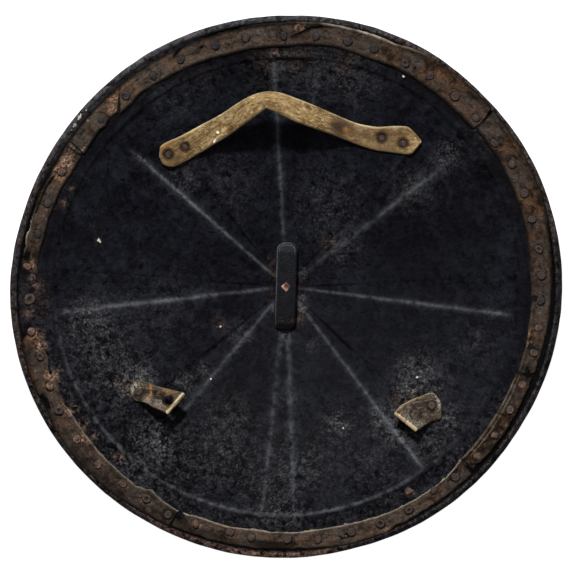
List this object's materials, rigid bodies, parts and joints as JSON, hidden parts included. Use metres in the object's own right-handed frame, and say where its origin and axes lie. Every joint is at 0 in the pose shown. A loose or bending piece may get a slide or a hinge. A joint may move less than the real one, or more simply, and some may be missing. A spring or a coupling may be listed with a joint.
{
  "type": "rondache shield",
  "caption": "Round dished iron shield with pressed rays, a rolled rim, riveted leather lining and an arm strap, lying with its inside up.",
  "frame": {"origin": "middle of the flat end of the front stud, on which the shield lies", "axes": "+Z out of the inside of the dish, +Y towards the arm strap, +X to the right with the inside in view"},
  "size_m": [0.5794, 0.5704, 0.0962],
  "materials": {
    "black_iron": "blackened, pitted and dusty",
    "rusty_iron": "red-brown rust",
    "lining_leather": "worn, dry and rust stained",
    "strap_leather": "buff, fibrous"
  },
  "bodies": {
    "root": {"shield_plate": "black_iron", "backing_bar": "black_iron", "front_stud": "black_iron", "front_rosette": "black_iron", "lining_top": "lining_leather", "lining_right": "lining_leather", "lining_patch_right": "lining_leather", "lining_bottom": "lining_leather", "lining_lower_left": "lining_leather", "lining_left": "lining_leather", "lining_patch_left": "lining_leather", "arm_strap": "strap_leather", "strap_stub_left": "strap_leather", "strap_stub_right": "strap_leather", "strap_rivet_left_outer": "rusty_iron", "strap_rivet_left_inner": "rusty_iron", "strap_rivet_right_inner": "rusty_iron", "strap_rivet_right_outer": "rusty_iron", "stub_rivet_left": "rusty_iron", "stub_rivet_right_outer": "rusty_iron", "stub_rivet_right_inner": "rusty_iron"}
  },
  "joints": []
}
